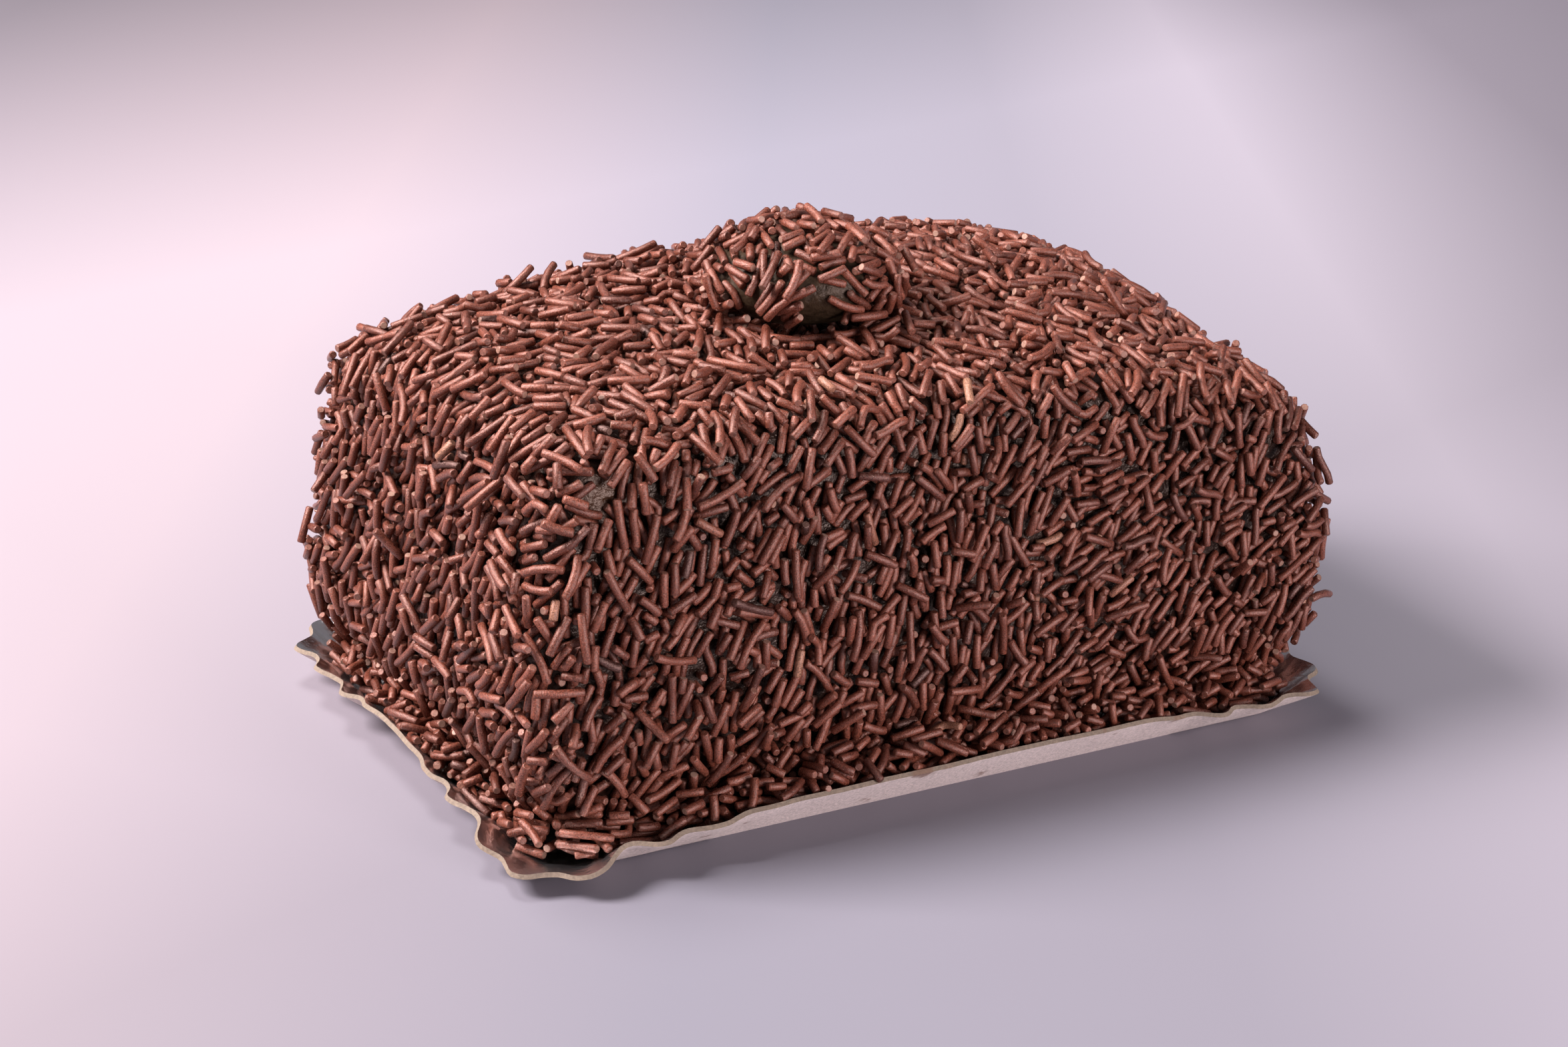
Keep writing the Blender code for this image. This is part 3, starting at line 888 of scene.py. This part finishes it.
# %% Cake coat
rng = np.random.default_rng(COAT_SEED)
to_ball = np.array([ball_tree.find_nearest(point, 30.0)[3] or 30.0 for point in cake_points.tolist()])
is_top = cake_normals[:, 2] > TOP_FACE
spread = 0.42 + 0.5 * is_top
cake_ground = Ground(cake_points, cake_normals, drift_on_cake(cake_points, cake_normals), spread)
is_free = (to_ball > BALL_ROOM) & (cake_points[:, 2] > FOOT)
is_free &= np.linalg.norm(cake_points - BARE_SPOT, axis=1) >= BARE_REACH
is_free &= cloudy(cake_points, GAP_SIZE, 9.0) < np.where(is_top, GAPS_ON_TOP, GAPS_ON_SIDES)
wanted = np.flatnonzero(is_free)
print("places", len(cake_points), "wanted", len(wanted))
flat = {"leave": 0.26, "tilt": 0.14, "top": 2.2, "sink": (0.1, 0.4), "most": 9000}
lay(rng, cake_ground, "cake", wanted, **flat)
stand(rng, cake_ground, "cake", wanted, most=460, out=(0.9, 2.0))
bridges = {"leave": 0.03, "tilt": 0.3, "top": 2.8, "sink": (0.15, 0.45), "most": 4000, "free": 0.5}
lay(rng, cake_ground, "cake", wanted, **bridges)
clumps = cloudy(cake_points, CLUMP_SIZE, 21.0) + 0.3 * is_top
piled = wanted[clumps[wanted] > CLUMPS]
on_others = {"leave": -1.0, "loose": 1.0}
pile = {"tilt": 0.42, "top": 3.3, "sink": (0.2, 0.5), "most": 850, "free": 0.6}
lay(rng, cake_ground, "cake", piled, **pile, **on_others)
strays = {"tilt": 0.2, "top": 3.9, "sink": (0.0, 0.3), "most": 110, "free": 1.0, "steep": 0.7}
lay(rng, cake_ground, "cake", wanted, **strays, **on_others)
print("sprinkles on the cake", len(laid))

# %% [markdown]
# ## The coat on the ball
#
# The ball was rolled in sprinkles before it was set on the cake, so they lie every way on it. Low
# down in front the coat is thin, and the olive-brown fudge shows between a few single ones.

# %% Ball coat
CAKE_ROOM = 1.2
BALL_FOOT = 4.0  # the ball's underside, up to here, stays bare
THIN_WAY = (-0.45, -0.85, -0.15)  # from the ball's middle to where its coat is thin
THIN_REACH = 0.72  # cosine of the angle around that way
THIN_LEAST = -0.12  # there it stays bare where the random value is above this
drift = ball_normals[:, [1, 2, 0]]  # any way along the surface will do, as they lie every way
ball_ground = Ground(ball_points, ball_normals, drift, np.full(len(ball_points), 1.2))
to_cake = np.array([cake_tree.find_nearest(point)[3] for point in ball_points.tolist()])
is_thin = ball_normals @ unit(np.array([THIN_WAY]))[0] > THIN_REACH
bare = is_thin & (cloudy(ball_points, 2.6, 2.0) > THIN_LEAST)
above_foot = ball_points[:, 2] > ball_points[:, 2].min() + BALL_FOOT
wanted = np.flatnonzero((to_cake > CAKE_ROOM) & above_foot & ~bare)
flat = {"leave": 0.2, "tilt": 0.1, "top": 1.6, "sink": (0.15, 0.4), "most": 900, "free": 0.5}
lay(rng, ball_ground, "ball", wanted, **flat)
stand(rng, ball_ground, "ball", wanted, most=16, out=(0.9, 1.6))
bridges = {"leave": 0.03, "tilt": 0.2, "top": 2.2, "sink": (0.15, 0.45), "most": 300, "free": 0.5}
lay(rng, ball_ground, "ball", wanted, **bridges)
print("with the ball", len(laid))

# %% [markdown]
# ## Loose sprinkles in the tray
#
# Sprinkles that didn't stick have fallen into the gutter between the cake and the wall, and most
# came to rest along the wall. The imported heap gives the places: rays straight down find its upper
# face every 0.7 mm. The core of the heap ends lower, so real sprinkles fill it up in layers. The
# cake hangs over the gutter in places, so the trials start low and work their way down or up.

# %% Loose sprinkles in the tray
low_bed, high_bed = (np.array(corner[:]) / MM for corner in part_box("sprinkle_bed"))
heap_tree = surface(nodes["sprinkle_bed"])[2]
GUTTER_STEP = 0.7
BANK = 1.6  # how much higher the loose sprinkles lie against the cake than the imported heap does
BANK_REACH = (1.6, 3.6)  # from the cake: where the bank starts to fall, and where it ends
RAY_START = 40.0
GUTTER_LEAST = 2.4  # lower than this is the heap's flat underside, not its top
GUTTER_TURN = 16.0  # radius of the turn that the loose sprinkles make with the wall at a corner
BED_START = (-1.0, 1.5)  # the trials start low, because the cake hangs over the gutter
BED_STEPS = 12
BED_PATIENCE = 130
BED_PASSES = (  # share left open, tilt, greatest height, most sprinkles, share laid on others
    (0.15, 0.4, 0.5, 1000, 0.4),
    (0.02, 0.5, 1.7, 600, 0.0),
    (-1.0, 0.5, 2.0, 220, 1.0),
)
BED_SEED = 23


def gutter_places():
    """Even places over the gutter: those from which a ray down meets the heap's upper face."""
    places = []
    for x in np.arange(low_bed[0], high_bed[0], GUTTER_STEP):
        for y in np.arange(low_bed[1], high_bed[1], GUTTER_STEP):
            spot = heap_tree.ray_cast((x, y, RAY_START), (0.0, 0.0, -1.0))[0]
            if spot and spot.z > GUTTER_LEAST:
                from_cake = cake_tree.find_nearest(spot)[3]
                near = 1.0 - smooth_step(from_cake, *BANK_REACH)
                places.append((spot.x, spot.y, spot.z + BANK * near))
    return np.array(places)


gutter = gutter_places()
up = np.repeat([[0.0, 0.0, 1.0]], len(gutter), axis=0)
inner_half = np.array(RIM_HALF) - GUTTER_TURN
outward = gutter[:, :2] - np.clip(gutter[:, :2], -inner_half, inner_half)
along_wall = np.stack((-outward[:, 1], outward[:, 0], np.zeros(len(gutter))), axis=1)
bed_ground = Ground(gutter, up, along_wall, np.full(len(gutter), 0.45), (-0.6, 0.0, 0.6))
everywhere = np.arange(len(gutter))
print("gutter places", len(gutter))
rng = np.random.default_rng(BED_SEED)
for leave, tilt, top, most, loose in BED_PASSES:
    low = {"start": BED_START, "steps": BED_STEPS, "patience": BED_PATIENCE}
    lay(rng, bed_ground, "bed", everywhere, leave, tilt, top, (0.35, 0.5), most, 0.7, loose, **low)
print("all sprinkles", len(laid))

# %% [markdown]
# ## From places to sprinkles
#
# Each sprinkle is so far only a row: its kind, its middle and its turn. A mesh of bare points
# carries the rows as attributes, and a Geometry Nodes tree puts the kind's mesh at each point. Its
# named inputs hold what can be varied: the kinds, the thickness, the seed of the tints and the
# finish. The tree gives each sprinkle two random values for its tint, and a cell of its own on one
# square UV sheet, so that baked colours never overlap. It ends in Realize Instances and Set
# Material, because a plain mesh is what a library can keep.

# %% Geometry Nodes tree
def calculated(tree, operation, *values):
    """The result of a Math node on values or links."""
    return add_node(tree, "ShaderNodeMath", dict(enumerate(values)), operation=operation).outputs[0]


def attribute(tree, name, kind):
    made = add_node(tree, "GeometryNodeInputNamedAttribute", {"Name": name}, data_type=kind)
    return made.outputs["Attribute"]


def store(tree, geometry, name, kind, domain, value):
    given = {"Geometry": geometry, "Name": name}
    made = add_node(tree, "GeometryNodeStoreNamedAttribute", given, data_type=kind, domain=domain)
    tree.links.new(value, made.inputs["Value"])
    return made.outputs["Geometry"]


def random_value(tree, low, high, seed):
    made = tree.nodes.new("FunctionNodeRandomValue")
    made.data_type = "FLOAT"
    numbers = [socket for socket in made.inputs if socket.enabled and socket.type == "VALUE"]
    numbers[0].default_value, numbers[1].default_value = low, high
    tree.links.new(seed, made.inputs["Seed"])
    return next(socket for socket in made.outputs if socket.enabled)


def sprinkle_tree():
    """Puts a kind of sprinkle at each point, gives it its tints and its cell of the UV sheet."""
    tree = bpy.data.node_groups.new("sprinkles", "GeometryNodeTree")
    for name, kind in (
        ("Places", "NodeSocketGeometry"),
        ("Kinds", "NodeSocketCollection"),
        ("Thickness", "NodeSocketFloat"),
        ("Cells across", "NodeSocketInt"),
        ("Tint seed", "NodeSocketInt"),
        ("Finish", "NodeSocketMaterial"),
    ):
        tree.interface.new_socket(name, in_out="INPUT", socket_type=kind)
    tree.interface.new_socket("Sprinkles", in_out="OUTPUT", socket_type="NodeSocketGeometry")
    given = tree.nodes.new("NodeGroupInput").outputs
    result = tree.nodes.new("NodeGroupOutput")
    apart = {"Collection": given["Kinds"], "Separate Children": True, "Reset Children": True}
    each = add_node(tree, "GeometryNodeCollectionInfo", apart)
    placed = add_node(
        tree,
        "GeometryNodeInstanceOnPoints",
        {
            "Points": given["Places"],
            "Instance": each.outputs[0],
            "Pick Instance": True,
            "Instance Index": attribute(tree, "kind", "INT"),
            "Rotation": attribute(tree, "turn", "QUATERNION"),
            "Scale": given["Thickness"],
        },
    )
    geometry = placed.outputs[0]
    seed = given["Tint seed"]
    geometry = store(tree, geometry, "tint", "FLOAT", "INSTANCE", random_value(tree, 0.0, 1.0, seed))
    other = calculated(tree, "ADD", seed, 7.0)
    geometry = store(tree, geometry, "pale", "FLOAT", "INSTANCE", random_value(tree, 0.0, 1.0, other))
    index = tree.nodes.new("GeometryNodeInputIndex").outputs[0]
    width = given["Cells across"]
    across = calculated(tree, "MODULO", index, width)
    down = calculated(tree, "FLOOR", calculated(tree, "DIVIDE", index, width))
    cell = add_node(tree, "ShaderNodeCombineXYZ", {"X": across, "Y": down}).outputs[0]
    geometry = store(tree, geometry, "cell", "FLOAT_VECTOR", "INSTANCE", cell)
    geometry = add_node(tree, "GeometryNodeRealizeInstances", {"Geometry": geometry}).outputs[0]
    spot = add_node(
        tree,
        "ShaderNodeVectorMath",
        {0: attribute(tree, "sheet", "FLOAT_VECTOR"), 1: attribute(tree, "cell", "FLOAT_VECTOR")},
        operation="ADD",
    ).outputs[0]
    share = calculated(tree, "DIVIDE", 1.0, width)
    spot = add_node(tree, "ShaderNodeVectorMath", {0: spot, "Scale": share}, operation="SCALE").outputs[0]
    geometry = store(tree, geometry, "OFBake", "FLOAT2", "CORNER", spot)
    for name in ("sheet", "cell"):
        given_up = {"Geometry": geometry, "Name": name}
        geometry = add_node(tree, "GeometryNodeRemoveAttribute", given_up).outputs[0]
    dressed = {"Geometry": geometry, "Material": given["Finish"]}
    geometry = add_node(tree, "GeometryNodeSetMaterial", dressed).outputs[0]
    tree.links.new(geometry, result.inputs["Sprinkles"])
    return tree


def grow_sprinkles(name, rows, tree, finish, seed):
    """One piece of sprinkles from rows of kind, middle and turn."""
    mesh = bpy.data.meshes.new(name)
    mesh.from_pydata([tuple(row[1] * MM) for row in rows], [], [])
    kind = mesh.attributes.new("kind", "INT", "POINT")
    kind.data.foreach_set("value", [row[0] for row in rows])
    turn = mesh.attributes.new("turn", "QUATERNION", "POINT")
    quaternions = [Matrix(row[2].tolist()).transposed().to_quaternion() for row in rows]
    turn.data.foreach_set("value", [part for quaternion in quaternions for part in quaternion])
    piece = bpy.data.objects.new(name, mesh)
    SCENE.objects.link(piece)
    modifier = piece.modifiers.new("Sprinkles", "NODES")
    modifier.node_group = tree
    inputs = {item.name: item.identifier for item in tree.interface.items_tree if item.in_out == "INPUT"}
    modifier[inputs["Kinds"]] = kinds
    modifier[inputs["Thickness"]] = 1.0
    modifier[inputs["Cells across"]] = math.ceil(math.sqrt(len(rows)))
    modifier[inputs["Tint seed"]] = seed
    modifier[inputs["Finish"]] = finish
    apply_modifiers(piece)
    return piece


# %% [markdown]
# ## Finishes
#
# Chocolate sprinkles are cocoa-brown with a soft gloss, and each is a little different. Fine sugar
# makes their skin grainy, with paler specks, and the broken ends have dried lighter. So the colour
# comes from each one's tint, darkened and lit by a fine noise, and the same noise roughens the
# surface. The real colour is darker than it looks, because the gloss adds a lot of light: with a
# lighter base the coat turns out orange and flat.

# %% Sprinkle finish
def mix(tree, factor, first, second, blend="MIX"):
    made = tree.nodes.new("ShaderNodeMix")
    made.data_type = "RGBA"
    made.blend_type = blend
    for socket, value in zip([s for s in made.inputs if s.enabled], (factor, first, second)):
        if isinstance(value, bpy.types.NodeSocket):
            tree.links.new(value, socket)
        else:
            socket.default_value = (*value, 1.0) if isinstance(value, tuple) else value
    return next(s for s in made.outputs if s.enabled)


def noise_value(tree, spot, scale, detail=4.0, roughness=0.6):
    wanted = {"Vector": spot, "Scale": scale, "Detail": detail, "Roughness": roughness}
    return add_node(tree, "ShaderNodeTexNoise", wanted).outputs["Fac"]


def roughen(tree, shader, height, depth, strength, roughness=None):
    """Bumps of this depth where the value is high and, if a range is given, a rougher gloss."""
    wanted = {"Height": height, "Distance": depth, "Strength": strength}
    bump = add_node(tree, "ShaderNodeBump", wanted)
    tree.links.new(bump.outputs["Normal"], shader.inputs["Normal"])
    if roughness:
        wanted = {"Value": height, "To Min": roughness[0], "To Max": roughness[1]}
        rough = add_node(tree, "ShaderNodeMapRange", wanted)
        tree.links.new(rough.outputs["Result"], shader.inputs["Roughness"])


def shades(colour, dark, light):
    return ((0.3, tuple(dark * part for part in colour)), (0.7, tuple(light * part for part in colour)))


def sprinkle_finish():
    gloss = {"specular_ior_level": 0.85, "specular_tint": (1.0, 0.67, 0.58)}
    finish, shader, tree = new_material("Chocolate sprinkles", **gloss)
    tint, pale, end = (
        add_node(tree, "ShaderNodeAttribute", attribute_name=name).outputs["Fac"]
        for name in ("tint", "pale", "end")
    )
    spot = add_node(tree, "ShaderNodeTexCoord").outputs["Object"]
    body = ramp(
        tree,
        tint,
        (
            (0.0, (0.030, 0.011, 0.008)),
            (0.006, (0.054, 0.015, 0.010)),
            (0.03, (0.083, 0.0215, 0.0125)),
            (0.3, (0.106, 0.0275, 0.0155)),
            (0.65, (0.128, 0.0345, 0.0195)),
            (0.992, (0.160, 0.046, 0.027)),
            (0.998, (0.26, 0.125, 0.075)),
        ),
    )
    grain = noise_value(tree, spot, 6000.0, detail=3.0, roughness=0.65)
    mottle = ramp(tree, grain, ((0.34, 0.4), (0.52, 1.0), (0.68, 2.0)))
    colour = mix(tree, 1.0, body, mottle, "MULTIPLY")
    dots = noise_value(tree, spot, 7500.0, detail=1.0, roughness=0.5)
    speck = ramp(tree, dots, ((0.64, 0.0), (0.74, 0.5)))
    colour = mix(tree, speck, colour, (0.40, 0.25, 0.20))
    bloom = ramp(tree, pale, ((0.5, 0.05), (0.8, 0.3), (0.97, 0.85)))
    ends = calculated(tree, "MULTIPLY", calculated(tree, "POWER", end, 3.0), bloom)
    colour = mix(tree, ends, colour, (0.34, 0.21, 0.155))
    tree.links.new(colour, shader.inputs["Base Color"])
    roughen(tree, shader, grain, 0.09 * MM, 0.9, (0.17, 0.42))
    return finish


# %% [markdown]
# The frosting in the gaps is nearly black and moist, and thin and amber where the coat has come
# off. The same near-black finish dresses the heap's core in the tray as painted shade, standing for
# the dark gaps between loose sprinkles. The ball's fudge is olive-brown. The tray has three
# finishes: grey card outside with a few fat stains, wrinkled foil inside, and the raw edge of the card.

# %% Frosting, foil and card
AMBER = (0.050, 0.018, 0.007)
FAT_STAIN = (0.16, 0.075, 0.045)
AMBER_FULL, AMBER_END = 2.0 * MM, 4.5 * MM  # how far from the bare spot's middle it reaches


def frosting_finish(name, colour, roughness):
    finish, shader, tree = new_material(name, specular_ior_level=0.25, specular_tint=(1.0, 0.80, 0.68))
    spot = add_node(tree, "ShaderNodeTexCoord").outputs["Object"]
    lumps = noise_value(tree, spot, 900.0)
    tone = ramp(tree, lumps, shades(colour, 0.6, 1.5))
    middle = {0: spot, 1: tuple(BARE_SPOT * MM)}
    away = add_node(tree, "ShaderNodeVectorMath", middle, operation="DISTANCE").outputs["Value"]
    reach = {"Value": away, "From Min": AMBER_FULL, "From Max": AMBER_END, "To Min": 1.0, "To Max": 0.0}
    near = add_node(tree, "ShaderNodeMapRange", reach).outputs["Result"]
    tone = mix(tree, near, tone, AMBER)
    tree.links.new(tone, shader.inputs["Base Color"])
    roughen(tree, shader, lumps, 0.35 * MM, 0.8, (roughness, roughness + 0.2))
    return finish


def foil_finish():
    finish, shader, tree = new_material("Foil", base_color=(0.72, 0.70, 0.70), metallic=1.0, roughness=0.24)
    spot = add_node(tree, "ShaderNodeTexCoord").outputs["Object"]
    roughen(tree, shader, noise_value(tree, spot, 700.0), 0.25 * MM, 0.7)
    return finish


def card_finish(name, colour, stained):
    finish, shader, tree = new_material(name, base_color=colour, roughness=0.8)
    spot = add_node(tree, "ShaderNodeTexCoord").outputs["Object"]
    fibre = noise_value(tree, spot, 2500.0)
    tone = ramp(tree, fibre, shades(colour, 0.7, 1.2))
    stain = ramp(tree, noise_value(tree, spot, 210.0, detail=3.0), ((0.62, 0.0), (0.72, stained)))
    tone = mix(tree, stain, tone, FAT_STAIN)
    tree.links.new(tone, shader.inputs["Base Color"])
    roughen(tree, shader, fibre, 0.08 * MM, 1.0)
    return finish


# %% [markdown]
# ## Pieces
#
# The coat is divided by the side that it lies on, so that each piece stays small enough to handle:
# two on the top, one on each side, one on the ball and one in the tray.

# %% Pieces
tree = sprinkle_tree()
chocolate = sprinkle_finish()


def piece_of(row):
    name, normal = row[3], row[4]
    if name != "cake":
        return name + "_sprinkles"
    if normal[2] > TOP_FACE:
        return "top_sprinkles_" + ("left" if row[1][0] < 0.0 else "right")
    if abs(normal[0]) > END_FACE:
        return "left_sprinkles" if normal[0] < 0.0 else "right_sprinkles"
    return "front_sprinkles" if normal[1] < 0.0 else "back_sprinkles"


groups = {}
for row in laid:
    groups.setdefault(piece_of(row), []).append(row)
pieces = []
for index, (name, rows) in enumerate(sorted(groups.items())):
    piece = grow_sprinkles(name, rows, tree, chocolate, index + 1)
    pieces.append(piece)
    piece.data.calc_loop_triangles()
    print(name, len(rows), "sprinkles", len(piece.data.loop_triangles), "triangles")
for kind in list(kinds.objects):
    bpy.data.objects.remove(kind)
bpy.data.collections.remove(kinds)

fudge_and_heap_shade = frosting_finish("Fudge frosting", (0.010, 0.0042, 0.0028), 0.15)
olive = frosting_finish("Ball fudge", (0.026, 0.016, 0.009), 0.3)
# The heap's core wears the near-black frosting as painted shade, standing for the dark gaps between the
# tray's loose sprinkles.
for core, finish in ((cake_core, fudge_and_heap_shade), (ball_core, olive), (bed_core, fudge_and_heap_shade)):
    core.data.materials.clear()
    core.data.materials.append(finish)
grey_card = card_finish("Grey card", (0.60, 0.50, 0.47), 0.85)
raw_edge = card_finish("Raw edge", (0.20, 0.150, 0.108), 0.6)
for index, finish in enumerate((grey_card, foil_finish(), raw_edge)):
    tray.data.materials[index] = finish
print("finishes", sorted(finish.name for finish in tray.data.materials))

# %% [markdown]
# ## Handing over
#
# Nothing on a cake moves, so every piece rides the root. The cores and the tray each stand for the
# imported solid they were made from, which is hidden.

# %% Hand over
for piece in pieces + [cake_core, ball_core, bed_core, tray]:
    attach(piece, "root")
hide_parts("cake")
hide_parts("brigadeiro_ball")
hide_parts("sprinkle_bed")
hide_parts("card_tray")
print("pieces handed over", len(pieces) + 4)
